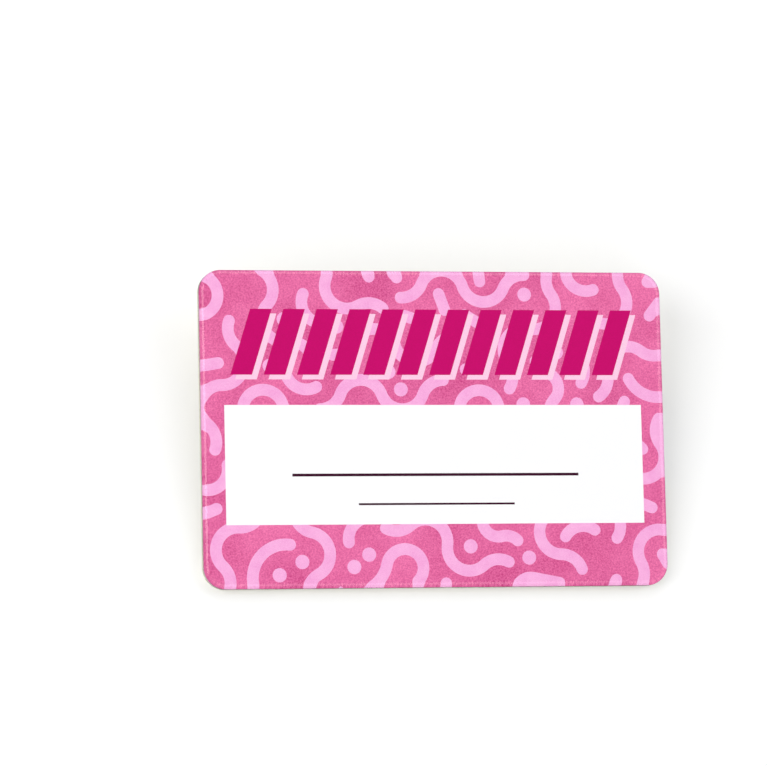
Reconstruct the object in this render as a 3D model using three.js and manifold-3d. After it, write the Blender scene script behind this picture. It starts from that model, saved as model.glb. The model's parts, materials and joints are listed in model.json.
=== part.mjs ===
// A reusable name badge that lies face up: a moulded back shell, a printed insert card and a clear cover
// that clips over both, with a safety-pin bar held on the back by an adhesive pad.
// Millimetres, +Z up, +X along the long side, +Y towards the badge's top edge.
// Every piece is built square to the shell, whose flat back is at z = 0 with the front facing +Z. The
// whole badge is then tilted as it lies, on the two blocks of its pin bar and on its shell's lower edge.
import * as THREE from "three";
import { mergeVertices } from "three/addons/utils/BufferGeometryUtils.js";
import Module from "manifold-3d";

const wasm = await Module();
wasm.setup();

// Outline of the badge, and the clearance left where one piece seats on another
const badgeWidth = 76;
const badgeHeight = 51;
const cornerRadius = 3.5;
const seatGap = 0.15;

// Back shell: a plate whose raised middle carries the insert, with a shoulder round it for the cover's skirt
const shellThickness = 2;
const shoulderDrop = 0.35;
const backEdgeRound = 1.4;
const notchRadius = 7.5;
const notchChamfer = 0.5;

// Insert card and clear cover
const insertThickness = 0.4;
const coverThickness = 1.3;
const skirtWall = 0.3;
const frontEdgeRound = 0.9;

// Low L-shaped locating ribs on the back, an upper pair and a lower pair
const ribWidth = 0.65;
const ribHeight = 0.4;
const ribLength = 11.2;
const ribBevel = 0.2;
const ribCornerRadius = 0.5;
const upperRibSpan = 40.5;
const upperRibLeg = 4.2;
const upperRibInset = 5.4;
const lowerRibSpan = 48.5;
const lowerRibLeg = 4.7;
const lowerRibInset = 5.7;
const nickWidth = 0.3;
const nickDepth = 0.2;
const nickFromCorner = 6.2;

// Adhesive pad, stuck on a little low and a little askew
const padLength = 37;
const padWidth = 8.8;
const padThickness = 0.5;
const padCornerRadius = 0.6;
const padDrop = 0.35;
const padTurnDegrees = 1.0;

// Pin bar: a base with a catch block near one end and a hinge block near the other
const barLength = 38;
const barWidth = 9.2;
const barThickness = 2;
const barCornerRadius = 0.5;
const barChamfer = 0.4;
const barFromTopEdge = 12.15;
const barOffCentre = 0.95;
const blockHeight = 3.6;
const blockWidth = 5.5;
const blockEdgeRound = 0.35;
const blockCornerRadius = 0.55;
const catchLength = 6.15;
const hingeLength = 6.75;
const blockSetback = 0.5;

// Mid slot moulded into the base
const midSlotLength = 4.65;
const midSlotWidth = 1.45;
const midSlotDepth = 1.6;
const midSlotX = 1.55;
const midSlotY = 0.5;

// Catch: a roof over a slot that is open towards the hinge and towards the badge's lower edge
const catchRoof = 0.9;
const catchSlotHeight = 1.2;
const catchEndWall = 1.4;
const catchBackWall = 1.65;

// Pin: one steel wire, a straight arm with a point and a coil round the hinge post
const wireDiameter = 0.6;
const coilRadius = 1.55;
const coilPitch = 0.7;
const coilTurns = 1.1;
const coilFromBarEnd = 5.25;
const coilHeight = 1.45;
const pointLength = 3.2;
const pointClearance = 0.5;
const armSideways = 0.35;
const hingePlay = 0.12;
const mouthLength = 1.5;
const mouthFlare = 0.4;
const sillHeight = 0.3;
const slotEndWall = 1.95;

// How finely round shapes are faceted
const cornerSteps = 8;
const roundSteps = 5;
const smallRoundSteps = 2;
const chamferSteps = 1;
const ribEndSteps = 4;
const notchSteps = 64;
const wireSides = 10;
const coilSteps = 26;
const hingeSides = 24;

// Limits of a corner's radius, the least in millimetres and the most as a share of the side that it rounds
const smallestRadius = 0.2;
const largestRadiusShare = 0.499;

// How far a cut runs past a face, a joined piece sinks into its neighbour, and two points count as one
const cutMargin = 1;
const joinDepth = 0.3;
const mergeDistance = 1e-5;

// Sizes that follow from those above
const slabSize = 2 * (badgeWidth + badgeHeight);
const shoulderZ = shellThickness - shoulderDrop;
const insertBackZ = shellThickness + seatGap;
const insertFrontZ = insertBackZ + insertThickness;
const coverUndersideZ = insertFrontZ + seatGap;
const frontZ = coverUndersideZ + coverThickness;
const skirtZ = shoulderZ + seatGap;
const insetInsideSkirt = skirtWall + seatGap;
const padBackZ = -seatGap - padThickness;
const barTopZ = padBackZ - seatGap;
const barOuterZ = barTopZ - barThickness;
const blockOuterZ = barOuterZ - blockHeight;
const barY = badgeHeight / 2 - barFromTopEdge;
const catchX = barLength / 2 - blockSetback - catchLength / 2;
const hingeX = -barLength / 2 + blockSetback + hingeLength / 2;
const hingeFaceX = hingeX + hingeLength / 2;
const wireRadius = wireDiameter / 2;
const coilX = -barLength / 2 + coilFromBarEnd;
const coilZ = barOuterZ - coilHeight;
const coilReach = coilRadius + wireRadius;
const hingeSlotWidth = wireDiameter + coilPitch * coilTurns + 2 * hingePlay;
const catchSlotZ = blockOuterZ + catchRoof + catchSlotHeight / 2;

// Booleans: a three.js geometry as a solid, and a solid as a geometry
function solidOf(geometry) {
  const bare = geometry.clone();
  bare.deleteAttribute("normal");
  bare.deleteAttribute("uv");
  const merged = mergeVertices(bare, mergeDistance);
  const vertProperties = new Float32Array(merged.attributes.position.array);
  const triVerts = new Uint32Array(merged.index.array);
  return new wasm.Manifold(new wasm.Mesh({ numProp: 3, vertProperties, triVerts }));
}

function geometryOf(solid) {
  const mesh = solid.getMesh();
  const positions = new Float32Array(mesh.numVert * 3);
  for (let i = 0; i < mesh.numVert; i += 1) {
    positions.set(mesh.vertProperties.subarray(i * mesh.numProp, i * mesh.numProp + 3), i * 3);
  }
  const geometry = new THREE.BufferGeometry();
  geometry.setAttribute("position", new THREE.BufferAttribute(positions, 3));
  geometry.setIndex(new THREE.BufferAttribute(new Uint32Array(mesh.triVerts), 1));
  geometry.computeVertexNormals();
  return geometry;
}

function named(name, solid, material) {
  const mesh = new THREE.Mesh(geometryOf(solid), material);
  mesh.name = name;
  return mesh;
}

function block(xLow, xHigh, yLow, yHigh, zLow, zHigh) {
  const box = new THREE.BoxGeometry(xHigh - xLow, yHigh - yLow, zHigh - zLow);
  box.translate((xLow + xHigh) / 2, (yLow + yHigh) / 2, (zLow + zHigh) / 2);
  return solidOf(box);
}

// A cylinder or cone along Z between two heights
function roundZ(x, y, lowRadius, highRadius, zLow, zHigh, sides) {
  const cone = new THREE.CylinderGeometry(highRadius, lowRadius, zHigh - zLow, sides);
  cone.rotateX(Math.PI / 2);
  cone.translate(x, y, (zLow + zHigh) / 2);
  return solidOf(cone);
}

// A rectangle with round corners about its own centre, drawn anticlockwise
function roundedOutline(width, height, radius) {
  const largest = largestRadiusShare * Math.min(width, height);
  const r = Math.min(Math.max(radius, smallestRadius), largest);
  const x = width / 2 - r;
  const y = height / 2 - r;
  const shape = new THREE.Shape();
  shape.absarc(x, y, r, 0, Math.PI / 2);
  shape.absarc(-x, y, r, Math.PI / 2, Math.PI);
  shape.absarc(-x, -y, r, Math.PI, 1.5 * Math.PI);
  shape.absarc(x, -y, r, 1.5 * Math.PI, 2 * Math.PI);
  shape.closePath();
  return shape;
}

function extruded(shape, zLow, zHigh) {
  const geometry = new THREE.ExtrudeGeometry(shape, {
    depth: zHigh - zLow,
    curveSegments: cornerSteps,
    bevelEnabled: false,
  });
  geometry.translate(0, 0, zLow);
  return solidOf(geometry);
}

// A slab of the outline with one of its two flat faces rounded off at the edge, over "steps" facets
function edgeRounded(shape, zLow, zHigh, round, steps, side) {
  const depth = zHigh - zLow;
  const geometry = new THREE.ExtrudeGeometry(shape, {
    depth,
    curveSegments: cornerSteps,
    bevelEnabled: true,
    bevelThickness: round,
    bevelSize: round,
    bevelOffset: -round,
    bevelSegments: steps,
  });
  geometry.translate(0, 0, side === "low" ? zLow + round : zHigh - round - depth);
  const keep = block(-slabSize, slabSize, -slabSize, slabSize, zLow, zHigh);
  return solidOf(geometry).intersect(keep);
}

// The badge's own outline, drawn in by an inset
function badgeOutline(inset) {
  return roundedOutline(badgeWidth - 2 * inset, badgeHeight - 2 * inset, cornerRadius - inset);
}

// An L-shaped rib with its outer corner at (x, y) and both arms running back towards the badge's centre.
// It is drawn in the first quadrant, with round ends, and turned over into its own
function locatingRib(x, y, leg) {
  const half = ribWidth / 2;
  const outline = new THREE.Shape();
  outline.absarc(ribLength - half, half, half, -Math.PI / 2, Math.PI / 2);
  outline.lineTo(ribWidth, ribWidth);
  outline.absarc(half, leg - half, half, 0, Math.PI);
  outline.absarc(ribCornerRadius, ribCornerRadius, ribCornerRadius, Math.PI, 1.5 * Math.PI);
  const towardsCentre = new THREE.Vector2(-Math.sign(x), -Math.sign(y));
  const corner = new THREE.Vector2(x, y);
  const points = outline.getPoints(ribEndSteps).map((point) => point.multiply(towardsCentre).add(corner));
  return edgeRounded(new THREE.Shape(points), -ribHeight, joinDepth, ribBevel, smallRoundSteps, "low");
}

function makeShell() {
  const slab = edgeRounded(badgeOutline(0), 0, shoulderZ, backEdgeRound, roundSteps, "low");
  const plateau = extruded(badgeOutline(insetInsideSkirt), shoulderZ - joinDepth, shellThickness);
  const notchX = badgeWidth / 2;
  const above = shellThickness + cutMargin;
  const notch = roundZ(notchX, 0, notchRadius, notchRadius, -cutMargin, above, notchSteps);
  const chamfer = roundZ(
    notchX, 0, notchRadius + 2 * notchChamfer, notchRadius, -notchChamfer, notchChamfer, notchSteps);
  let shell = slab.add(plateau).subtract(notch).subtract(chamfer);
  const upperY = badgeHeight / 2 - upperRibInset;
  const lowerY = -badgeHeight / 2 + lowerRibInset;
  for (const side of [-1, 1]) {
    shell = shell.add(locatingRib((side * upperRibSpan) / 2, upperY, upperRibLeg));
    shell = shell.add(locatingRib((side * lowerRibSpan) / 2, lowerY, lowerRibLeg));
  }
  const nickX = upperRibSpan / 2 - nickFromCorner;
  const nick = block(
    nickX - nickWidth / 2, nickX + nickWidth / 2,
    upperY - 2 * ribWidth, upperY + ribWidth,
    -ribHeight - cutMargin, -ribHeight + nickDepth);
  return shell.subtract(nick);
}

function makeInsert() {
  return extruded(badgeOutline(insetInsideSkirt), insertBackZ, insertFrontZ);
}

function makeCover() {
  const cap = edgeRounded(badgeOutline(0), skirtZ, frontZ, frontEdgeRound, roundSteps, "high");
  const inside = extruded(badgeOutline(skirtWall), skirtZ - cutMargin, coverUndersideZ);
  return cap.subtract(inside);
}

function makePad() {
  const outline = roundedOutline(padLength, padWidth, padCornerRadius);
  const pad = new THREE.ExtrudeGeometry(outline, {
    depth: padThickness,
    curveSegments: cornerSteps,
    bevelEnabled: false,
  });
  pad.rotateZ(THREE.MathUtils.degToRad(padTurnDegrees));
  pad.translate(barOffCentre, barY - padDrop, padBackZ);
  return solidOf(pad);
}

// A block that stands on the bar's outer face, rounded at its own outer face
function barBlock(length) {
  const outline = roundedOutline(length, blockWidth, blockCornerRadius);
  return edgeRounded(outline, blockOuterZ, barOuterZ + joinDepth, blockEdgeRound, smallRoundSteps, "low");
}

// The catch, the hinge and both slots are cut about the bar's own centre, x = 0 and y = 0
function makePinBar() {
  const outline = roundedOutline(barLength, barWidth, barCornerRadius);
  let bar = edgeRounded(outline, barOuterZ, barTopZ, barChamfer, chamferSteps, "low");
  bar = bar.add(barBlock(catchLength).translate([catchX, 0, 0]));
  bar = bar.add(barBlock(hingeLength).translate([hingeX, 0, 0]));
  const catchSlot = block(
    catchX - catchLength / 2 - cutMargin, catchX + catchLength / 2 - catchEndWall,
    -blockWidth / 2 - cutMargin, blockWidth / 2 - catchBackWall,
    catchSlotZ - catchSlotHeight / 2, catchSlotZ + catchSlotHeight / 2);
  bar = bar.subtract(catchSlot);
  const midSlot = roundedOutline(midSlotLength, midSlotWidth, midSlotWidth / 2);
  bar = bar.subtract(
    extruded(midSlot, barOuterZ - cutMargin, barOuterZ + midSlotDepth).translate([midSlotX, midSlotY, 0]));
  bar = bar.subtract(hingeSlot()).add(hingePost());
  return bar.translate([barOffCentre, barY, 0]);
}

// A round bar about the coil's own axis, across the hinge block
function roundAtCoil(radius, width) {
  const round = new THREE.CylinderGeometry(radius, radius, width, hingeSides);
  round.translate(coilX, 0, coilZ);
  return solidOf(round);
}

// The slot that the coil turns in: a deep end and a round hollow for the coil, and a way out for the arm
// over a low sill, with a flared mouth
function hingeSlot() {
  const half = hingeSlotWidth / 2;
  const endX = hingeX - hingeLength / 2 + slotEndWall;
  const hollowRadius = coilReach + seatGap;
  const outside = blockOuterZ - cutMargin;
  const sillZ = barOuterZ - sillHeight;
  const deepEnd = block(endX, coilX, -half, half, outside, coilZ + hollowRadius);
  const hollow = roundAtCoil(hollowRadius, hingeSlotWidth);
  const way = block(endX, hingeFaceX + cutMargin, -half, half, outside, sillZ);
  const flareStart = hingeFaceX - mouthLength;
  const reach = (mouthLength + cutMargin) / mouthLength;
  const flare = new THREE.Shape([
    new THREE.Vector2(flareStart, -half + joinDepth),
    new THREE.Vector2(flareStart, -half),
    new THREE.Vector2(flareStart + mouthLength * reach, -half - mouthFlare * reach),
    new THREE.Vector2(flareStart + mouthLength * reach, -half + joinDepth),
  ]);
  return deepEnd.add(hollow).add(way).add(extruded(flare, outside, sillZ));
}

// The post inside the coil, moulded across the slot
function hingePost() {
  return roundAtCoil(coilRadius - wireRadius - seatGap, hingeSlotWidth + 2 * joinDepth);
}

// The coil's centre line about the bar's own centre: from the arm's end round the post, moving along the
// post as it goes
class CoilCurve extends THREE.Curve {
  constructor(startAngle) {
    super();
    this.startAngle = startAngle;
  }

  getPoint(t, target = new THREE.Vector3()) {
    const angle = this.startAngle - t * coilTurns * 2 * Math.PI;
    const along = (t - 0.5) * coilTurns * coilPitch;
    const x = coilX + coilRadius * Math.sin(angle);
    const z = coilZ - coilRadius * Math.cos(angle);
    return target.set(x, along, z);
  }
}

// The arm runs from the coil's outer side, as a tangent, to a point inside the catch slot. Both are drawn
// about the bar's own centre
function makePin() {
  const tipX = catchX + catchLength / 2 - catchEndWall - pointClearance;
  const reach = Math.hypot(tipX - coilX, catchSlotZ - coilZ);
  const slope = Math.atan2(coilZ - catchSlotZ, tipX - coilX) - Math.asin(coilRadius / reach);
  const armY = (-coilTurns * coilPitch) / 2;
  const root = new THREE.Vector3(
    coilX - coilRadius * Math.sin(slope), armY, coilZ - coilRadius * Math.cos(slope));
  const tip = new THREE.Vector3(tipX, armSideways, catchSlotZ);
  const length = root.distanceTo(tip);
  const profile = [
    new THREE.Vector2(0, 0),
    new THREE.Vector2(wireRadius, 0),
    new THREE.Vector2(wireRadius, length - pointLength),
    new THREE.Vector2(0, length),
  ];
  const arm = new THREE.LatheGeometry(profile, wireSides);
  const direction = tip.clone().sub(root).normalize();
  arm.applyQuaternion(new THREE.Quaternion().setFromUnitVectors(new THREE.Vector3(0, 1, 0), direction));
  arm.translate(root.x, root.y, root.z);
  const section = new THREE.Shape();
  section.absarc(0, 0, wireRadius, 0, 2 * Math.PI);
  const coil = new THREE.ExtrudeGeometry(section, {
    steps: coilSteps,
    curveSegments: wireSides / 2,
    bevelEnabled: false,
    extrudePath: new CoilCurve(-slope),
  });
  return solidOf(arm).add(solidOf(coil)).translate([barOffCentre, barY, 0]);
}

// The angle at which the badge lies: the line that touches the shell's rounded lower edge and the rounded
// lower edges of the two blocks, both from below
function restTilt() {
  const edgeY = -badgeHeight / 2 + backEdgeRound;
  const blockY = barY - blockWidth / 2 + blockEdgeRound;
  const across = blockY - edgeY;
  const down = blockOuterZ + blockEdgeRound - backEdgeRound;
  const between = Math.hypot(across, down);
  return -Math.atan2(down, across) - Math.asin((backEdgeRound - blockEdgeRound) / between);
}

const shellPlastic = new THREE.MeshStandardMaterial({ color: 0xeae5d2, roughness: 0.5, metalness: 0 });
const barPlastic = new THREE.MeshStandardMaterial({ color: 0xe8e8da, roughness: 0.45, metalness: 0 });
const clearPlastic = new THREE.MeshStandardMaterial({
  color: 0xffffff, roughness: 0.05, metalness: 0, transparent: true, opacity: 0.25,
});
const printedCard = new THREE.MeshStandardMaterial({ color: 0xec70a8, roughness: 0.6, metalness: 0 });
const foamTape = new THREE.MeshStandardMaterial({ color: 0xf0efe8, roughness: 0.9, metalness: 0 });
const pinSteel = new THREE.MeshStandardMaterial({ color: 0xc8c8c4, roughness: 0.3, metalness: 1 });

const badge = new THREE.Group();
badge.add(named("back_shell", makeShell(), shellPlastic));
badge.add(named("insert_card", makeInsert(), printedCard));
badge.add(named("front_cover", makeCover(), clearPlastic));
badge.add(named("adhesive_pad", makePad(), foamTape));
badge.add(named("pin_bar", makePinBar(), barPlastic));
badge.add(named("pin_arm", makePin(), pinSteel));
badge.rotation.x = restTilt();

// The origin is on the surface, under the middle of the badge
const nameBadge = new THREE.Group();
nameBadge.add(badge);
const extent = new THREE.Box3().setFromObject(nameBadge, true);
const middle = extent.getCenter(new THREE.Vector3());
badge.position.set(-middle.x, -middle.y, -extent.min.z);

export default nameBadge;
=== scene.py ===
"""Dresses a name badge that lies face up: moulded shell, printed card, clear cover and a safety-pin bar.

Everything is in metres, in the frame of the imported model. Each piece is built in the badge's own frame, where
x runs to the right as the front is read, y to the top edge and z out of the front, and is then laid down.
"""

from __future__ import annotations

import json
import logging
import math
import random
from dataclasses import dataclass, field
from enum import Enum

import bmesh
import bpy
import numpy as np
from mathutils import Euler, Matrix, Vector
from mathutils.geometry import delaunay_2d_cdt


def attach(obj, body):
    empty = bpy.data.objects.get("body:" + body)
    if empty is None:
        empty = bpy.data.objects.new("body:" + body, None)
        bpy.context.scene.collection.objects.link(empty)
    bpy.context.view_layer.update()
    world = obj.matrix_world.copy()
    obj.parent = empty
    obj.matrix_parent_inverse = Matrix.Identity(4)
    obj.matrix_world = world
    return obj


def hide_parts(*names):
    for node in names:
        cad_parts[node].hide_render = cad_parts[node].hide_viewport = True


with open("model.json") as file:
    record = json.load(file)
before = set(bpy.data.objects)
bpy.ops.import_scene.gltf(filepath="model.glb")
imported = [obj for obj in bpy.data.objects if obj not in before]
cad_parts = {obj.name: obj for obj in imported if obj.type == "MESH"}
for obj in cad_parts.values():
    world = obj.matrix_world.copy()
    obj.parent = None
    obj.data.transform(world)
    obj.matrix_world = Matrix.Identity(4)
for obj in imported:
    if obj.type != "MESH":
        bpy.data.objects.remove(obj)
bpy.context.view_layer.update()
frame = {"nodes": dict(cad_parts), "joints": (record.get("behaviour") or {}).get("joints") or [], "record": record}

MM = 0.001
NOISE_SPAN = (0.3, 0.7)  # where most of the values of smooth noise lie
FLAT_LEAD = 100  # the strongest lead that large faces can take in a shaded normal
log = logging.getLogger("name_badge")


def linear(red: int, green: int, blue: int) -> tuple[float, float, float, float]:
    """Turns a screen colour into the linear one that a shader takes.

    Args:
        red: Red from 0 to 255.
        green: Green from 0 to 255.
        blue: Blue from 0 to 255.

    Returns:
        The linear colour, with an alpha of 1.
    """
    def channel(value: int) -> float:
        """The linear value of one channel."""
        share = value / 255
        return share / 12.92 if share <= 0.04045 else ((share + 0.055) / 1.055) ** 2.4

    return channel(red), channel(green), channel(blue), 1.0


class Body(Enum):
    """The two moving bodies of the badge."""

    BADGE = "badge"
    PIN = "pin"


class Slot(Enum):
    """The material slots of the record."""

    SHELL = "shell"
    CARD = "card"
    COVER = "clear_cover"
    PAD = "pad"
    BAR = "bar"
    WIRE = "pin_wire"


class NodeTree:
    """A material's node tree, with short calls for the nodes that the finishes share."""

    def __init__(self, name: str) -> None:
        """Starts an empty material.

        Args:
            name: The material's name.
        """
        self.material = bpy.data.materials.new(name)
        self.material.use_nodes = True
        self.tree = self.material.node_tree
        self.tree.nodes.clear()
        self.output = self.tree.nodes.new("ShaderNodeOutputMaterial")

    def node(self, kind: str, **inputs: object) -> bpy.types.Node:
        """Adds a node and sets or links its inputs.

        Args:
            kind: The node's type.
            **inputs: Values or sockets by input name, with _ for a space.

        Returns:
            The new node.
        """
        made = self.tree.nodes.new(kind)
        for key, value in inputs.items():
            self.feed(made.inputs[key.replace("_", " ")], value)
        return made

    def feed(self, socket: bpy.types.NodeSocket, value: object) -> None:
        """Sets a socket, or links another socket to it.

        Args:
            socket: The input.
            value: A constant, or the output to link from.
        """
        if isinstance(value, bpy.types.NodeSocket):
            self.tree.links.new(value, socket)
        else:
            socket.default_value = value

    def place(self) -> bpy.types.NodeSocket:
        """The point on the object, in metres."""
        return self.tree.nodes.new("ShaderNodeTexCoord").outputs["Object"]

    def stretched(self, scale: tuple[float, float, float]) -> bpy.types.NodeSocket:
        """The point on the object with each axis scaled.

        Args:
            scale: The factor along each axis.

        Returns:
            The scaled point.
        """
        mapping = self.node("ShaderNodeMapping", Vector=self.place(), Scale=scale)
        return mapping.outputs["Vector"]

    def noise(self, size: float, detail: float = 2.0, vector: bpy.types.NodeSocket | None = None,
              roughness: float = 0.5) -> bpy.types.NodeSocket:
        """Adds smooth noise.

        Args:
            size: The size of its features, in metres.
            detail: How many finer layers it has.
            vector: Where it is read, the point on the object if left out.
            roughness: How strong the finer layers are.

        Returns:
            A value around one half.
        """
        made = self.node("ShaderNodeTexNoise", Vector=vector or self.place(), Scale=1 / size,
                         Detail=detail, Roughness=roughness)
        return made.outputs["Fac"]

    def specks(self, spacing: float, reach: float) -> bpy.types.NodeSocket:
        """Adds small round specks, one for each cell of a scattered grid.

        Args:
            spacing: The mean distance between specks, in metres.
            reach: A speck's radius as a share of the spacing.

        Returns:
            1 in a speck, falling to 0 round it.
        """
        cells = self.node("ShaderNodeTexVoronoi", Vector=self.place(), Scale=1 / spacing)
        return self.remap(cells.outputs["Distance"], reach, 0.0, 0.0, 1.0)

    def remap(self, value: bpy.types.NodeSocket, low: float, high: float, to_low: float,
              to_high: float) -> bpy.types.NodeSocket:
        """Maps a range of a value to another range, and clamps it.

        Args:
            value: The value.
            low: Where the range starts.
            high: Where it ends.
            to_low: What the start becomes.
            to_high: What the end becomes.

        Returns:
            The mapped value.
        """
        made = self.node("ShaderNodeMapRange", Value=value, From_Min=low, From_Max=high,
                         To_Min=to_low, To_Max=to_high)
        return made.outputs["Result"]

    def math(self, operation: str, first: object, second: object,
             third: object = 0.0) -> bpy.types.NodeSocket:
        """Joins values by a sum, product or like operation.

        Args:
            operation: Blender's name of the operation.
            first: The first value or socket.
            second: The second value or socket.
            third: What a product is added to, where the operation takes it.

        Returns:
            The result.
        """
        made = self.tree.nodes.new("ShaderNodeMath")
        made.operation = operation
        self.feed(made.inputs[0], first)
        self.feed(made.inputs[1], second)
        self.feed(made.inputs[2], third)
        return made.outputs["Value"]

    def mix(self, share: object, first: object, second: object) -> bpy.types.NodeSocket:
        """Blends two colours.

        Args:
            share: How much of the second there is.
            first: The first colour.
            second: The second colour.

        Returns:
            The blended colour.
        """
        made = self.tree.nodes.new("ShaderNodeMix")
        made.data_type = "RGBA"
        self.feed(made.inputs["Factor"], share)
        self.feed(made.inputs["A"], first)
        self.feed(made.inputs["B"], second)
        return made.outputs["Result"]

    def bump(self, height: bpy.types.NodeSocket, depth: float,
             below: bpy.types.NodeSocket | None = None) -> bpy.types.NodeSocket:
        """Turns a height into a bumped normal.

        Args:
            height: The height, from 0 to 1.
            depth: What a height of 1 measures, in metres.
            below: The normal that it is added to.

        Returns:
            The normal.
        """
        made = self.node("ShaderNodeBump", Height=height, Distance=depth, Strength=1.0)
        if below is not None:
            self.feed(made.inputs["Normal"], below)
        return made.outputs["Normal"]

    def finish(self, shader: bpy.types.NodeSocket) -> bpy.types.Material:
        """Wires a shader to the output.

        Args:
            shader: The shader.

        Returns:
            The material.
        """
        self.tree.links.new(shader, self.output.inputs["Surface"])
        return self.material


@dataclass(frozen=True)
class MouldedPlastic:
    """Satin moulded plastic with soft clouds of tone, fine specks and a slightly uneven skin."""

    name: str
    colour: tuple[float, float, float, float]
    cloud_colour: tuple[float, float, float, float]
    speck_colour: tuple[float, float, float, float]
    cloud_size: float = 5 * MM
    cloud_span: tuple[float, float] = (0.35, 0.65)
    cloud_share: float = 0.5
    grain_size: float = 0.35 * MM
    grain_roughness: float = 0.6
    speck_spacing: float = 1.6 * MM
    speck_reach: float = 0.16
    speck_strength: float = 0.5
    roughness: float = 0.42
    roughness_swing: float = 0.12
    skin_depth: float = 0.012 * MM
    wave_depth: float = 0.03 * MM
    refraction: float = 1.5
    glow_share: float = 0.15
    glow_depth: float = 1 * MM
    glow_by_colour: tuple[float, float, float] = (1.0, 0.8, 0.5)

    def material(self) -> bpy.types.Material:
        """Builds the material."""
        tree = NodeTree(self.name)
        clouds = tree.remap(tree.noise(self.cloud_size, detail=3.0), *self.cloud_span, 0.0, 1.0)
        grain = tree.noise(self.grain_size, detail=3.0, roughness=self.grain_roughness)
        tone = tree.math("MULTIPLY_ADD", grain, 1 - self.cloud_share,
                         tree.math("MULTIPLY", clouds, self.cloud_share))
        colour = tree.mix(tone, self.colour, self.cloud_colour)
        specks = tree.math("MULTIPLY", tree.specks(self.speck_spacing, self.speck_reach),
                           self.speck_strength)
        colour = tree.mix(specks, colour, self.speck_colour)
        rough = tree.remap(tree.noise(self.cloud_size / 3), *NOISE_SPAN,
                           self.roughness - self.roughness_swing / 2,
                           self.roughness + self.roughness_swing / 2)
        waves = tree.bump(tree.noise(self.cloud_size / 2, detail=1.0), self.wave_depth)
        skin = tree.bump(grain, self.skin_depth, waves)
        shader = tree.node("ShaderNodeBsdfPrincipled", Base_Color=colour, Roughness=rough, Normal=skin,
                           Subsurface_Weight=self.glow_share, Subsurface_Scale=self.glow_depth,
                           Subsurface_Radius=self.glow_by_colour, IOR=self.refraction)
        return tree.finish(shader.outputs["BSDF"])


@dataclass(frozen=True)
class PrintedInk:
    """Ink on coated card: mottled by the print's fine dots, over faint paper fibres."""

    name: str
    colour: tuple[float, float, float, float]
    mottle_colour: tuple[float, float, float, float]
    mottle_size: float = 0.26 * MM
    mottle_roughness: float = 0.7
    blotch_size: float = 9 * MM
    blotch_share: float = 0.15
    roughness: float = 0.5
    sheen_level: float = 0.1
    fibre_depth: float = 0.008 * MM

    def material(self) -> bpy.types.Material:
        """Builds the material."""
        tree = NodeTree(self.name)
        dots = tree.remap(tree.noise(self.mottle_size, roughness=self.mottle_roughness), *NOISE_SPAN,
                          0.0, 1.0)
        blotches = tree.remap(tree.noise(self.blotch_size), *NOISE_SPAN, 0.0, 1.0)
        share = tree.math("MULTIPLY", blotches, self.blotch_share)
        tone = tree.math("MULTIPLY_ADD", dots, 1 - self.blotch_share, share)
        colour = tree.mix(tone, self.colour, self.mottle_colour)
        fibres = tree.bump(tree.noise(self.mottle_size / 2, detail=3.0), self.fibre_depth)
        shader = tree.node("ShaderNodeBsdfPrincipled", Base_Color=colour, Roughness=self.roughness,
                           Specular_IOR_Level=self.sheen_level, Normal=fibres)
        return tree.finish(shader.outputs["BSDF"])


@dataclass(frozen=True)
class ClearPlastic:
    """Clear polished plastic. Light on its way to what lies under it goes straight through."""

    name: str
    tint: tuple[float, float, float, float] = (1.0, 1.0, 1.0, 1.0)
    refraction: float = 1.49
    roughness: float = 0.03
    swirl_size: float = 14 * MM
    swirl_depth: float = 0.006 * MM

    def material(self) -> bpy.types.Material:
        """Builds the material."""
        tree = NodeTree(self.name)
        swirls = tree.bump(tree.noise(self.swirl_size, detail=1.0), self.swirl_depth)
        clear = tree.node("ShaderNodeBsdfPrincipled", Base_Color=self.tint, Roughness=self.roughness,
                          IOR=self.refraction, Transmission_Weight=1.0, Normal=swirls)
        open_way = tree.node("ShaderNodeBsdfTransparent", Color=self.tint).outputs["BSDF"]
        path = tree.node("ShaderNodeLightPath")
        seen = clear.outputs["BSDF"]
        for ray in ("Is Shadow Ray", "Is Diffuse Ray"):
            mixed = tree.node("ShaderNodeMixShader")
            tree.feed(mixed.inputs[0], path.outputs[ray])
            tree.feed(mixed.inputs[1], seen)
            tree.feed(mixed.inputs[2], open_way)
            seen = mixed.outputs["Shader"]
        return tree.finish(seen)


@dataclass(frozen=True)
class FoamTape:
    """Fine-celled adhesive foam, whose cell pits are coloured darker as painted shade."""

    name: str
    colour: tuple[float, float, float, float]
    pit_shade_colour: tuple[float, float, float, float]
    cell_size: float = 0.16 * MM
    cell_depth: float = 0.02 * MM
    cell_reach: float = 0.7
    roughness: float = 0.85

    def material(self) -> bpy.types.Material:
        """Builds the material."""
        tree = NodeTree(self.name)
        cells = tree.node("ShaderNodeTexVoronoi", Vector=tree.place(), Scale=1 / self.cell_size)
        depth = tree.remap(cells.outputs["Distance"], 0.0, self.cell_reach, 0.0, 1.0)
        # painted shade: the pits that the bump sinks take the darker colour
        colour = tree.mix(depth, self.pit_shade_colour, self.colour)
        shader = tree.node("ShaderNodeBsdfPrincipled", Base_Color=colour, Roughness=self.roughness,
                           Normal=tree.bump(depth, self.cell_depth))
        return tree.finish(shader.outputs["BSDF"])


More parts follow.
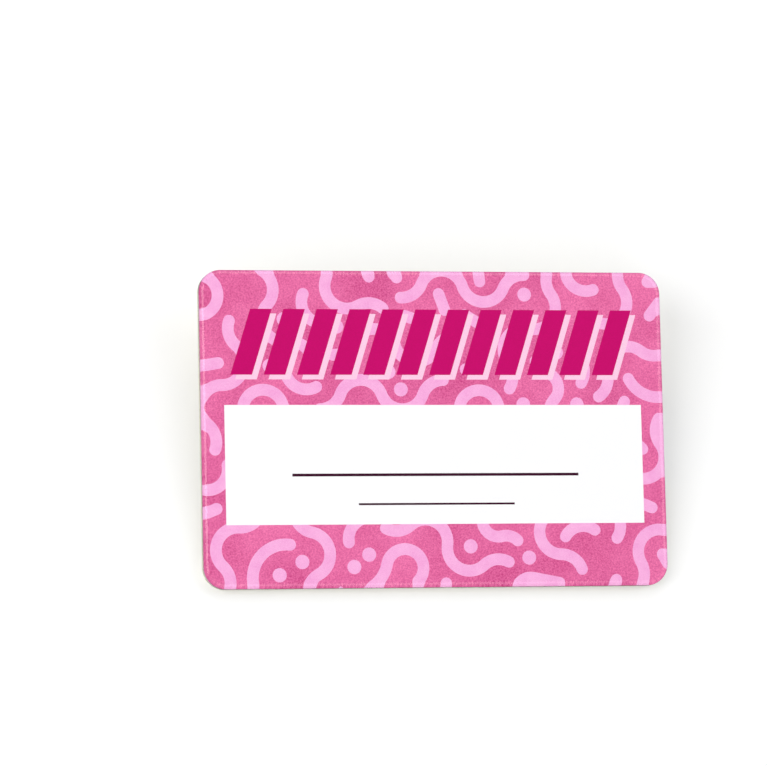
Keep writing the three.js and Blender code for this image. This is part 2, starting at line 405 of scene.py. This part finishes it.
@dataclass(frozen=True)
class DrawnWire:
    """Steel wire with fine draw marks along it."""

    name: str
    colour: tuple[float, float, float, float]
    mark_colour: tuple[float, float, float, float]
    mark_width: float = 0.05 * MM
    mark_length_factor: float = 0.01
    mark_depth: float = 0.0008 * MM
    stain_span: tuple[float, float] = (0.4, 0.7)
    stain_share: float = 0.5
    roughness_span: tuple[float, float] = (0.18, 0.3)

    def material(self) -> bpy.types.Material:
        """Builds the material."""
        tree = NodeTree(self.name)
        along = tree.stretched((self.mark_length_factor, 1.0, 1.0))
        marks = tree.noise(self.mark_width, detail=3.0, vector=along)
        stains = tree.remap(marks, *self.stain_span, 0.0, self.stain_share)
        colour = tree.mix(stains, self.colour, self.mark_colour)
        rough = tree.remap(marks, *NOISE_SPAN, *self.roughness_span)
        shader = tree.node("ShaderNodeBsdfPrincipled", Base_Color=colour, Roughness=rough, Metallic=1.0,
                           Normal=tree.bump(marks, self.mark_depth))
        return tree.finish(shader.outputs["BSDF"])


SHELL_PLASTIC = MouldedPlastic("beige_shell_plastic", linear(232, 228, 210), linear(225, 220, 201),
                               linear(205, 198, 175))
BAR_PLASTIC = MouldedPlastic("cream_bar_plastic", linear(231, 229, 214), linear(225, 223, 207),
                             linear(212, 209, 192), cloud_size=7 * MM, speck_spacing=2.4 * MM,
                             roughness=0.38)
COVER_PLASTIC = ClearPlastic("clear_cover_plastic")
PAD_FOAM = FoamTape("adhesive_foam", linear(234, 233, 224), linear(222, 220, 209))
PIN_STEEL = DrawnWire("drawn_steel_wire", linear(188, 184, 175), linear(148, 143, 132))


@dataclass(frozen=True)
class BadgeFrame:
    """The badge's own frame as it lies, taken from the mount in the middle of its front face."""

    matrix: Matrix

    @classmethod
    def from_record(cls, record: dict, thickness: float = 4.0 * MM) -> BadgeFrame:
        """Finds the frame.

        Args:
            record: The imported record.
            thickness: From the shell's back to the cover's front.

        Returns:
            The frame, with its origin in the middle of the shell's back.
        """
        mount = next(m for m in record["mounts"] if m["name"] == "front_face")
        out = Vector(mount["axis"]).normalized()
        right = Vector((1.0, 0.0, 0.0))
        turn = Matrix((right, out.cross(right), out)).transposed().to_4x4()
        return cls(Matrix.Translation(Vector(mount["pos_m"]) - thickness * out) @ turn)

    def inside(self, point: Vector) -> Vector:
        """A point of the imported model's frame, in this one."""
        return self.matrix.inverted() @ point

    def corners(self, node: str) -> tuple[Vector, Vector]:
        """The lowest and highest corner of a node in this frame.

        Args:
            node: The node's name.

        Returns:
            Both corners.
        """
        points = [self.inside(v.co) for v in frame["nodes"][node].data.vertices]
        low = Vector(tuple(min(p[i] for p in points) for i in range(3)))
        high = Vector(tuple(max(p[i] for p in points) for i in range(3)))
        return low, high


class MeshMaker:
    """Gathers points and faces in the badge's own frame and makes one object of them."""

    def __init__(self) -> None:
        """Starts with nothing."""
        self.points: list[Vector] = []
        self.faces: list[list[int]] = []
        self.inks: list[int] = []

    def ring(self, points: list[Vector]) -> list[int]:
        """Adds points.

        Args:
            points: The points.

        Returns:
            Their numbers.
        """
        first = len(self.points)
        self.points.extend(points)
        return list(range(first, len(self.points)))

    def face(self, numbers: list[int], ink: int = 0) -> None:
        """Adds one face with the number of its material."""
        self.faces.append(numbers)
        self.inks.append(ink)

    def bridge(self, first: list[int], second: list[int]) -> None:
        """Joins two closed rings of as many points.

        Args:
            first: The first ring.
            second: The ring after it, further along the way that faces look left of.
        """
        count = len(first)
        for i in range(count):
            j = (i + 1) % count
            self.face([first[i], first[j], second[j], second[i]])

    def build(self, name: str, place: Matrix, materials: list[bpy.types.Material],
              sharp_angle: float = 35.0) -> bpy.types.Object:
        """Makes the object, with its faces turned out and its shading smooth up to an angle.

        Args:
            name: The object's name.
            place: Where its own frame lies.
            materials: Its materials.
            sharp_angle: Edges that turn more than this, in degrees, stay crisp.

        Returns:
            The object.
        """
        mesh = bpy.data.meshes.new(name)
        mesh.from_pydata([tuple(p) for p in self.points], [], self.faces)
        for material in materials:
            mesh.materials.append(material)
        mesh.polygons.foreach_set("material_index", self.inks)
        work = bmesh.new()
        work.from_mesh(mesh)
        bmesh.ops.recalc_face_normals(work, faces=work.faces)
        work.to_mesh(mesh)
        work.free()
        mesh.shade_smooth()
        mesh.set_sharp_from_angle(angle=math.radians(sharp_angle))
        made = bpy.data.objects.new(name, mesh)
        bpy.context.scene.collection.objects.link(made)
        made.matrix_world = place
        even_normals(made)
        return made


def even_normals(obj: bpy.types.Object) -> None:
    """Lets large flat faces lead the shading, so that a round runs into a flat with no dark line."""
    weighted = obj.modifiers.new("even_normals", "WEIGHTED_NORMAL")
    weighted.keep_sharp = True
    weighted.weight = FLAT_LEAD


def rounded_rectangle(width: float, height: float, radius: float, steps: int) -> list[Vector]:
    """Draws a rectangle with round corners, anticlockwise about its centre.

    Args:
        width: Its size along x.
        height: Its size along y.
        radius: The corners' radius.
        steps: Facets in each corner.

    Returns:
        Its points, with z at 0.
    """
    points = []
    for corner, (side_x, side_y) in enumerate(((1, 1), (-1, 1), (-1, -1), (1, -1))):
        centre = Vector((side_x * (width / 2 - radius), side_y * (height / 2 - radius), 0.0))
        for step in range(steps + 1):
            angle = math.radians(90 * (corner + step / steps))
            points.append(centre + radius * Vector((math.cos(angle), math.sin(angle), 0.0)))
    return points


def hand_over(piece: bpy.types.Object, body: Body, slot: Slot, *nodes: str) -> None:
    """Hides the nodes that a piece stands for and attaches the piece to its body's empty; the slot is only logged,
    and a piece that stands for no node is not attached.

    Args:
        piece: The piece.
        body: The body that it moves with.
        slot: The record's material slot.
        *nodes: The nodes that it replaces.
    """
    if nodes:
        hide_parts(*nodes)
        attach(piece, body.value)
    log.info("%s rides on %s, slot %s", piece.name, body.value, slot.value)


@dataclass
class ClearCover:
    """The clear cover: a plate with a rounded front edge and a thin skirt that goes round the card.

    The card is pressed flat against its underside, so that the print shows through the rounded edge too.
    """

    badge_frame: BadgeFrame
    corner_radius: float = 3.5 * MM
    front_round: float = 0.9 * MM
    skirt_wall: float = 0.3 * MM
    foot_round: float = 0.1 * MM
    inner_round: float = 0.05 * MM
    press: float = 0.002 * MM
    flat_support: float = 0.25 * MM
    round_steps: int = 14
    small_steps: int = 4
    corner_steps: int = 20
    least_radius: float = 0.2 * MM

    def quarter(self, centre: tuple[float, float], radius: float, start: float, sweep: float,
                steps: int) -> list[tuple[float, float]]:
        """A round in the section, as (inset, height) pairs.

        Args:
            centre: Its centre.
            radius: Its radius.
            start: The angle that it starts at, in degrees from straight inwards.
            sweep: How far it turns, in degrees.
            steps: Its facets.

        Returns:
            Its points.
        """
        angles = [math.radians(start + sweep * i / steps) for i in range(steps + 1)]
        return [(centre[0] + radius * math.cos(a), centre[1] + radius * math.sin(a)) for a in angles]

    def section(self) -> list[tuple[float, float]]:
        """The cover's section from the middle of its underside, round the skirt's foot, to its front."""
        low, high = self.badge_frame.corners("front_cover")
        underside = self.badge_frame.corners("insert_card")[1].z - self.press
        inner = self.skirt_wall + self.inner_round
        foot = self.foot_round
        points = [(inner + self.flat_support, underside)]
        points += self.quarter((inner, underside - self.inner_round), self.inner_round, 90, 90,
                               self.small_steps)
        points += self.quarter((self.skirt_wall - foot, low.z + foot), foot, 0, -90, self.small_steps)
        points += self.quarter((foot, low.z + foot), foot, -90, -90, self.small_steps)
        points += self.quarter((self.front_round, high.z - self.front_round), self.front_round, 180, -90,
                               self.round_steps)
        points.append((self.front_round + self.flat_support, high.z))
        return points

    def build(self) -> bpy.types.Object:
        """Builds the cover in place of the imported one.

        Returns:
            The cover.
        """
        low, high = self.badge_frame.corners("front_cover")
        maker = MeshMaker()
        rings = []
        for inset, height in self.section():
            outline = rounded_rectangle(high.x - low.x - 2 * inset, high.y - low.y - 2 * inset,
                                        max(self.corner_radius - inset, self.least_radius),
                                        self.corner_steps)
            rings.append(maker.ring([p + Vector((0.0, 0.0, height)) for p in outline]))
        for first, second in zip(rings, rings[1:]):
            maker.bridge(first, second)
        maker.face(rings[0])
        maker.face(rings[-1])
        cover = maker.build("clear_cover", self.badge_frame.matrix, [COVER_PLASTIC.material()])
        hand_over(cover, Body.BADGE, Slot.COVER, "front_cover")
        return cover


@dataclass(frozen=True)
class Leg:
    """One run of a stroke's centre line: straight, or an arc."""

    length: float
    turn: float = 0.0


def bend(radius: float, turn: float) -> Leg:
    """An arc of a stroke's centre line.

    Args:
        radius: Its radius.
        turn: How far it turns, in degrees, positive to the left.

    Returns:
        The run.
    """
    return Leg(radius * abs(math.radians(turn)), turn)


class Motif(Enum):
    """The strokes that the card's ground is strewn with, each as the runs of its centre line."""

    WAVE = (bend(3.6 * MM, 70), bend(3.6 * MM, -140), bend(3.6 * MM, 140), bend(3.6 * MM, -70))
    SWAN = (bend(3.0 * MM, 215), bend(5.6 * MM, -100))
    RING = (bend(3.3 * MM, 360),)
    ARCH = (bend(5.4 * MM, 150),)
    RIPPLE = (bend(2.6 * MM, 60), bend(2.6 * MM, -120), bend(2.6 * MM, 120), bend(2.6 * MM, -60))
    HOOK = (Leg(4.4 * MM), bend(2.5 * MM, 175))
    CRESCENT = (bend(3.4 * MM, 95),)
    DASH = (Leg(2.8 * MM),)
    DOT = (Leg(0.01 * MM),)


class Ink(Enum):
    """The inks of the print, from the lowest to the topmost, and the card's bare back in a darker, bluer copy of
    the white paper: painted shade.
    """

    GROUND = 0
    STROKE = 1
    PAPER = 2
    BAND_SHADOW = 3
    BAND = 4
    RULE = 5
    BACK = 6


INKS = {
    Ink.GROUND: PrintedInk("print_pink", linear(251, 133, 186), linear(197, 61, 125), blotch_share=0.35),
    Ink.STROKE: PrintedInk("print_pale_pink", linear(252, 187, 230), linear(241, 157, 213),
                           blotch_size=2.5 * MM, blotch_share=0.45),
    Ink.PAPER: PrintedInk("card_white", linear(254, 254, 254), linear(249, 249, 251), roughness=0.55),
    Ink.BAND_SHADOW: PrintedInk("print_blush", linear(253, 208, 233), linear(249, 200, 226)),
    Ink.BAND: PrintedInk("print_magenta", linear(202, 0, 110), linear(192, 0, 100)),
    Ink.RULE: PrintedInk("print_plum", linear(50, 0, 30), linear(60, 6, 40)),
    # painted shade: the back and edges are a darker, bluer copy of the white paper, as the back lies in shadow
    Ink.BACK: PrintedInk("card_back_painted_shade", linear(243, 247, 254), linear(238, 242, 249), roughness=0.55),
}


@dataclass
class PrintDesign:
    """The flat print: strewn strokes, a slanted band of bars and a white panel with two ruled lines."""

    width: float
    height: float
    corner_radius: float
    corner_steps: int = 12
    stroke_width: float = 1.9 * MM
    stroke_gap: float = 1.0 * MM
    dot_radius: float = 1.15 * MM
    step: float = 0.3 * MM
    cap_steps: int = 8
    overhang: float = 3 * MM
    seed: int = 11
    tries: int = 700
    small_motif_rounds: int = 3
    panel_centre: tuple[float, float] = (0.07 * MM, -5.75 * MM)
    panel_size: tuple[float, float] = (68.6 * MM, 19.18 * MM)
    panel_cover: float = 0.6
    bar_count: int = 12
    bar_pitch: float = 5.4 * MM
    bar_width: float = 3.5 * MM
    bar_height: float = 10.6 * MM
    bar_slant: float = 3.4 * MM
    band_y: float = 14.0 * MM
    shadow_shift: tuple[float, float] = (0.75 * MM, -0.75 * MM)
    rule_table: tuple[tuple[float, float, float], ...] = (
        (47.0 * MM, -7.4 * MM, 0.45 * MM),
        (25.6 * MM, -12.1 * MM, 0.32 * MM),
    )
    strokes: list[list[Vector]] = field(default_factory=list)

    def trace(self, legs: tuple[Leg, ...], start: Vector, heading: float) -> list[Vector]:
        """Follows a stroke's runs.

        Args:
            legs: The runs.
            start: The first point.
            heading: The first direction, in radians from x.

        Returns:
            Points along the centre line.
        """
        line = [start.copy()]
        place = start.copy()
        for leg in legs:
            count = max(1, round(leg.length / self.step)) if leg.turn else 1
            turn = math.radians(leg.turn) / count
            for _ in range(count):
                heading += turn / 2
                place = place + (leg.length / count) * Vector((math.cos(heading), math.sin(heading)))
                heading += turn / 2
                line.append(place.copy())
        return line

    def outline_of(self, line: list[Vector], width: float) -> list[Vector]:
        """Draws round a centre line, with round ends.

        Args:
            line: The centre line.
            width: The stroke's width.

        Returns:
            The outline, anticlockwise.
        """
        half = width / 2
        headings = []
        for before, after in zip([line[0]] + line[:-1], line[1:] + [line[-1]]):
            way = after - before
            headings.append(math.atan2(way.y, way.x))
        right = [p + half * Vector((math.sin(a), -math.cos(a))) for p, a in zip(line, headings)]
        left = [p + half * Vector((-math.sin(a), math.cos(a))) for p, a in zip(line, headings)]
        end = self.cap(line[-1], headings[-1], half)
        start = self.cap(line[0], headings[0] + math.pi, half)
        return right + end + left[::-1] + start

    def cap(self, centre: Vector, heading: float, radius: float) -> list[Vector]:
        """The points inside a round end, from its right side to its left.

        Args:
            centre: The end of the line.
            heading: The way that the end looks.
            radius: Half the stroke's width.

        Returns:
            The points.
        """
        angles = [heading - math.pi / 2 + math.pi * i / self.cap_steps for i in range(1, self.cap_steps)]
        return [centre + radius * Vector((math.cos(a), math.sin(a))) for a in angles]

    def hidden_share(self, samples: np.ndarray) -> float:
        """How much of a line lies under the white panel or off the card.

        Args:
            samples: Its points, in rows.

        Returns:
            A share from 0 to 1.
        """
        off_panel = np.abs(samples - self.panel_centre) - np.array(self.panel_size) / 2
        off_card = np.abs(samples) - np.array((self.width, self.height)) / 2
        hidden = (off_panel < 0).all(axis=1) | (off_card > 0).any(axis=1)
        return float(hidden.mean())

    def strew(self) -> None:
        """Strews the strokes: each motif is tried at random places and kept where it is clear of the rest."""
        dice = random.Random(self.seed)
        kept = np.empty((0, 2))
        spacing = self.stroke_width + self.stroke_gap
        for motif in Motif:
            width = 2 * self.dot_radius if motif is Motif.DOT else self.stroke_width
            clearance = spacing + (width - self.stroke_width) / 2
            rounds = self.small_motif_rounds if motif in (Motif.DASH, Motif.DOT) else 1
            for _ in range(self.tries * rounds):
                start = Vector((dice.uniform(-0.5, 0.5) * (self.width + 2 * self.overhang),
                                dice.uniform(-0.5, 0.5) * (self.height + 2 * self.overhang)))
                line = self.trace(motif.value, start, dice.uniform(0, 2 * math.pi))
                samples = np.array([tuple(p) for p in line])
                if self.hidden_share(samples) > self.panel_cover:
                    continue
                if len(kept) and self.nearest(samples, kept) < clearance:
                    continue
                kept = np.vstack((kept, samples))
                if motif is Motif.RING:
                    half = len(line) // 2 + 1
                    self.strokes.append(self.outline_of(line[:half], width))
                    self.strokes.append(self.outline_of(line[half - 1:], width))
                else:
                    self.strokes.append(self.outline_of(line, width))

    @staticmethod
    def nearest(samples: np.ndarray, kept: np.ndarray) -> float:
        """The smallest distance between two sets of points.

        Args:
            samples: The first set.
            kept: The second set.

        Returns:
            The distance.
        """
        apart = samples[:, None, :] - kept[None, :, :]
        return float(np.sqrt((apart ** 2).sum(axis=2)).min())

    def rectangle(self, centre: tuple[float, float], size: tuple[float, float]) -> list[Vector]:
        """A plain rectangle, anticlockwise.

        Args:
            centre: Its centre.
            size: Its width and height.

        Returns:
            Its corners.
        """
        turns = ((-0.5, -0.5), (0.5, -0.5), (0.5, 0.5), (-0.5, 0.5))
        return [Vector((centre[0] + size[0] * u, centre[1] + size[1] * v)) for u, v in turns]

    def bars(self) -> list[list[Vector]]:
        """The slanted bars of the band."""
        first = -(self.bar_count - 1) / 2 * self.bar_pitch
        bars = []
        for number in range(self.bar_count):
            corners = self.rectangle((first + number * self.bar_pitch, self.band_y),
                                     (self.bar_width, self.bar_height))
            lean = self.bar_slant / self.bar_height
            bars.append([Vector((p.x + lean * (p.y - self.band_y), p.y)) for p in corners])
        return bars

    def regions(self) -> list[tuple[Ink, list[Vector]]]:
        """Every printed region with its ink, the card's own outline first.

        Returns:
            The regions.
        """
        self.strew()
        outline = [p.xy for p in rounded_rectangle(self.width, self.height, self.corner_radius,
                                                   self.corner_steps)]
        shift = Vector(self.shadow_shift)
        bars = self.bars()
        found = [(Ink.GROUND, outline)]
        found += [(Ink.STROKE, stroke) for stroke in self.strokes]
        found.append((Ink.PAPER, self.rectangle(self.panel_centre, self.panel_size)))
        found += [(Ink.BAND_SHADOW, [p + shift for p in bar]) for bar in bars]
        found += [(Ink.BAND, bar) for bar in bars]
        for length, y, thickness in self.rule_table:
            found.append((Ink.RULE, self.rectangle((self.panel_centre[0], y), (length, thickness))))
        return found


@dataclass
class InsertCard:
    """The card between shell and cover, printed in front, and behind and round its edges in a darker, bluer white
    that is painted shade.
    """

    badge_frame: BadgeFrame
    corner_radius: float = 2.9 * MM
    merge_distance: float = 0.002

    def arrange(self, regions: list[tuple[Ink, list[Vector]]]
                ) -> tuple[list[Vector], list[tuple[list[int], Ink]]]:
        """Cuts the card's face into triangles that each lie in one ink.

        Args:
            regions: The printed regions, the card's own outline first.

        Returns:
            The points in metres, and the triangles with their inks.
        """
        points: list[Vector] = []
        polygons: list[list[int]] = []
        for _, region in regions:
            polygons.append(list(range(len(points), len(points) + len(region))))
            points.extend(p / MM for p in region)
        made = delaunay_2d_cdt(points, [], polygons, 1, self.merge_distance, True)
        corners, triangles, sources = made[0], made[2], made[5]
        numbers: dict[int, int] = {}
        faces = []
        for triangle, inside in zip(triangles, sources):
            if 0 in inside:
                top = max((regions[i][0] for i in inside), key=lambda ink: ink.value)
                faces.append(([numbers.setdefault(corner, len(numbers)) for corner in triangle], top))
        return [corners[corner] * MM for corner in numbers], faces

    def build(self) -> bpy.types.Object:
        """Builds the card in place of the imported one.

        Returns:
            The card.
        """
        low, high = self.badge_frame.corners("insert_card")
        design = PrintDesign(high.x - low.x, high.y - low.y, self.corner_radius)
        corners, faces = self.arrange(design.regions())
        maker = MeshMaker()
        front = maker.ring([Vector((p.x, p.y, high.z)) for p in corners])
        back = maker.ring([Vector((p.x, p.y, low.z)) for p in corners])
        edges: dict[tuple[int, int], int] = {}
        for triangle, ink in faces:
            a, b, c = triangle
            maker.face([front[a], front[b], front[c]], ink.value)
            # painted shade on the back: the darker, bluer copy of the white paper
            maker.face([back[c], back[b], back[a]], Ink.BACK.value)
            for edge in ((a, b), (b, c), (c, a)):
                edges[edge] = edges.get(edge, 0) + 1
        for a, b in edges:
            if (b, a) not in edges:
                # the cut edges take the same painted shade
                maker.face([front[b], front[a], back[a], back[b]], Ink.BACK.value)
        materials = [INKS[ink].material() for ink in Ink]
        card = maker.build("insert_card_printed", self.badge_frame.matrix, materials)
        hand_over(card, Body.BADGE, Slot.CARD, "insert_card")
        log.info("the print has %d faces", len(faces))
        return card


@dataclass
class PinWire:
    """The pin: one wire that runs round the hinge post and on as a straight arm to its point."""

    badge_frame: BadgeFrame
    wire_diameter: float = 0.6 * MM
    coil_radius: float = 1.55 * MM
    coil_pitch: float = 0.7 * MM
    coil_turns: float = 1.1
    point_length: float = 3.2 * MM
    tip_radius: float = 0.03 * MM
    point_fullness: float = 0.8
    arm_start_share: float = 0.02
    sharp_angle: float = 50.0
    sides: int = 20
    coil_steps: int = 72
    point_steps: int = 10

    def path(self) -> list[tuple[Vector, float]]:
        """The wire's centre line from the coil's buried end to the point, with its radius.

        Returns:
            Pairs of point and radius.
        """
        joint = next(j for j in frame["joints"] if j["name"] == "pin_open")
        coil = self.badge_frame.inside(Vector(joint["pos_m"]))
        nodes = frame["nodes"]["pin_arm"].data.vertices
        tip = max((self.badge_frame.inside(v.co) for v in nodes), key=lambda p: p.x)
        radius = self.wire_diameter / 2
        reach = math.hypot(tip.x - coil.x, tip.z - coil.z)
        slope = math.atan2(coil.z - tip.z, tip.x - coil.x) - math.asin(self.coil_radius / reach)
        line = []
        for step in range(self.coil_steps, -1, -1):
            share = step / self.coil_steps
            angle = -slope - share * self.coil_turns * 2 * math.pi
            along = (share - 0.5) * self.coil_turns * self.coil_pitch
            line.append((Vector((coil.x + self.coil_radius * math.sin(angle), coil.y + along,
                                 coil.z - self.coil_radius * math.cos(angle))), radius))
        root = line[-1][0]
        shoulder = tip + (root - tip).normalized() * self.point_length
        line.append((root.lerp(shoulder, self.arm_start_share), radius))
        for step in range(self.point_steps + 1):
            share = step / self.point_steps
            width = (1 - share) ** self.point_fullness
            line.append((shoulder.lerp(tip, share), self.tip_radius + (radius - self.tip_radius) * width))
        return line

    def build(self) -> bpy.types.Object:
        """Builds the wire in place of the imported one.

        Returns:
            The wire.
        """
        maker = MeshMaker()
        line = self.path()
        rings = []
        side = Vector((0.0, 1.0, 0.0))
        for number, (point, radius) in enumerate(line):
            before = line[max(number - 1, 0)][0]
            after = line[min(number + 1, len(line) - 1)][0]
            way = (after - before).normalized()
            side = (side - side.dot(way) * way).normalized()
            other = way.cross(side)
            angles = [2 * math.pi * i / self.sides for i in range(self.sides)]
            rings.append(maker.ring([point + radius * (math.cos(a) * side + math.sin(a) * other)
                                     for a in angles]))
        for first, second in zip(rings, rings[1:]):
            maker.bridge(first, second)
        maker.face(rings[0][::-1])
        maker.face(rings[-1])
        wire = maker.build("pin_wire", self.badge_frame.matrix, [PIN_STEEL.material()], self.sharp_angle)
        hand_over(wire, Body.PIN, Slot.WIRE, "pin_arm")
        return wire


@dataclass(frozen=True)
class MouldedPiece:
    """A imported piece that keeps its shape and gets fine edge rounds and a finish."""

    node: str
    slot: Slot
    edge_round: float
    segments: int = 2
    sharp_angle: float = 32.0
    flat_angle: float = 0.2
    weld_distance: float = 0.0002 * MM

    def dress(self, material: bpy.types.Material) -> bpy.types.Object:
        """Rounds the piece's edges and gives it its material.

        Args:
            material: The finish.

        Returns:
            The piece.
        """
        piece = frame["nodes"][self.node]
        piece.data.materials.clear()
        piece.data.materials.append(material)
        piece.data.shade_smooth()
        weld = piece.modifiers.new("weld", "WELD")
        weld.merge_threshold = self.weld_distance
        flats = piece.modifiers.new("flats", "DECIMATE")
        flats.decimate_type = "DISSOLVE"
        flats.angle_limit = math.radians(self.flat_angle)
        edges = piece.modifiers.new("edge_rounds", "BEVEL")
        edges.width = self.edge_round
        edges.segments = self.segments
        edges.limit_method = "ANGLE"
        edges.angle_limit = math.radians(self.sharp_angle)
        edges.miter_outer = "MITER_ARC"
        even_normals(piece)
        hand_over(piece, Body.BADGE, self.slot)
        return piece


@dataclass(frozen=True)
class Lamp:
    """One soft square lamp that looks at the badge from a heading and height, in degrees."""

    name: str
    heading: float
    height: float
    power: float
    distance: float = 1.1
    size: float = 0.8

    def hang(self) -> bpy.types.Object:
        """Hangs the lamp.

        Returns:
            The lamp.
        """
        data = bpy.data.lights.new(self.name, "AREA")
        data.size = self.size
        data.energy = self.power
        lamp = bpy.data.objects.new(self.name, data)
        heading, height = math.radians(self.heading), math.radians(self.height)
        way = Vector((math.cos(heading) * math.cos(height), math.sin(heading) * math.cos(height),
                      math.sin(height)))
        lamp.location = self.distance * way
        lamp.rotation_euler = (-way).to_track_quat("-Z", "Y").to_euler()
        bpy.context.scene.collection.objects.link(lamp)
        return lamp


@dataclass
class Studio:
    """A pale floor, soft lamps round the badge and a sky that is bright in a band round it.

    The sky is dark overhead, where the front looks, and below, where the rounded edges look: the floor
    stays out of reflections, so that the edges keep a thin dark outline.
    """

    floor_size: float = 3.0
    floor_colour: tuple[float, float, float, float] = linear(254, 254, 254)
    floor_roughness: float = 0.7
    sky_bands: tuple[tuple[float, int], ...] = ((0.0, 30), (0.15, 255), (0.4, 255), (0.9, 60))
    sky_strength: float = 0.8
    backdrop_colour: tuple[float, float, float, float] = linear(252, 252, 252)
    lamps: tuple[Lamp, ...] = (
        Lamp("key_lamp", 182.0, 42.0, 6.1),
        Lamp("right_lamp", 15.0, 48.0, 3.2),
        Lamp("near_lamp", 265.0, 42.0, 2.4),
        Lamp("far_lamp", 95.0, 45.0, 3.2),
    )

    def floor(self) -> bpy.types.Object:
        """Lays the floor.

        Returns:
            The floor.
        """
        half = self.floor_size / 2
        maker = MeshMaker()
        maker.face(maker.ring([Vector((x, y, 0.0)) for x, y in
                               ((-half, -half), (half, -half), (half, half), (-half, half))]))
        tree = NodeTree("studio_floor")
        shader = tree.node("ShaderNodeBsdfPrincipled", Base_Color=self.floor_colour,
                           Roughness=self.floor_roughness)
        laid = maker.build("floor", Matrix.Identity(4), [tree.finish(shader.outputs["BSDF"])])
        laid.visible_glossy = False
        return laid

    def sky(self) -> None:
        """Sets the sky: each band has the sine of its height and its grey.

        The camera sees a plain backdrop in its place.
        """
        world = bpy.data.worlds.new("studio_sky")
        world.use_nodes = True
        nodes, links = world.node_tree.nodes, world.node_tree.links
        place = nodes.new("ShaderNodeTexCoord")
        split = nodes.new("ShaderNodeSeparateXYZ")
        ramp = nodes.new("ShaderNodeValToRGB")
        ramp.color_ramp.interpolation = "EASE"
        stops = ramp.color_ramp.elements
        while len(stops) < len(self.sky_bands):
            stops.new(0.5)
        for stop, (height, grey) in zip(stops, self.sky_bands):
            stop.position = height
            stop.color = linear(grey, grey, grey)
        links.new(place.outputs["Generated"], split.inputs[0])
        links.new(split.outputs["Z"], ramp.inputs["Fac"])
        links.new(ramp.outputs["Color"], nodes["Background"].inputs["Color"])
        nodes["Background"].inputs["Strength"].default_value = self.sky_strength
        backdrop = nodes.new("ShaderNodeBackground")
        backdrop.inputs["Color"].default_value = self.backdrop_colour
        path = nodes.new("ShaderNodeLightPath")
        chosen = nodes.new("ShaderNodeMixShader")
        links.new(path.outputs["Is Camera Ray"], chosen.inputs[0])
        links.new(nodes["Background"].outputs["Background"], chosen.inputs[1])
        links.new(backdrop.outputs["Background"], chosen.inputs[2])
        links.new(chosen.outputs["Shader"], nodes["World Output"].inputs["Surface"])
        bpy.context.scene.world = world

    def build(self) -> None:
        """Sets up floor, sky, lamps and a plain colour response."""
        self.floor()
        self.sky()
        for lamp in self.lamps:
            lamp.hang()
        bpy.context.scene.view_settings.view_transform = "Standard"
        log.info("studio with %d lamps", len(self.lamps))


@dataclass(frozen=True)
class BadgeCamera:
    """The camera, solved from the four corners of the front's outline for a lens of this length."""

    lens: float = 190.0
    sensor: float = 36.0
    eye: tuple[float, float, float] = (-141.96 * MM, -178.77 * MM, 616.22 * MM)
    turn: tuple[float, float, float] = (17.35, -11.375, -3.461)
    nearest: float = 0.05
    furthest: float = 20.0

    def build(self) -> bpy.types.Object:
        """Sets up the camera."""
        data = bpy.data.cameras.new("camera")
        data.lens = self.lens
        data.sensor_width = self.sensor
        data.sensor_fit = "HORIZONTAL"
        data.clip_start = self.nearest
        data.clip_end = self.furthest
        camera = bpy.data.objects.new("camera", data)
        camera.location = self.eye
        camera.rotation_euler = Euler([math.radians(a) for a in self.turn])
        bpy.context.scene.collection.objects.link(camera)
        bpy.context.scene.camera = camera
        return camera


def main() -> None:
    """Builds the badge, its studio and the camera."""
    logging.basicConfig(level=logging.INFO, format="%(name)s: %(message)s")
    badge_frame = BadgeFrame.from_record(frame["record"])
    BadgeCamera().build()
    Studio().build()
    ClearCover(badge_frame).build()
    InsertCard(badge_frame).build()
    PinWire(badge_frame).build()
    MouldedPiece("back_shell", Slot.SHELL, 0.08 * MM).dress(SHELL_PLASTIC.material())
    MouldedPiece("pin_bar", Slot.BAR, 0.1 * MM).dress(BAR_PLASTIC.material())
    MouldedPiece("adhesive_pad", Slot.PAD, 0.06 * MM).dress(PAD_FOAM.material())
    bpy.context.view_layer.update()


if __name__ == "__main__":
    main()
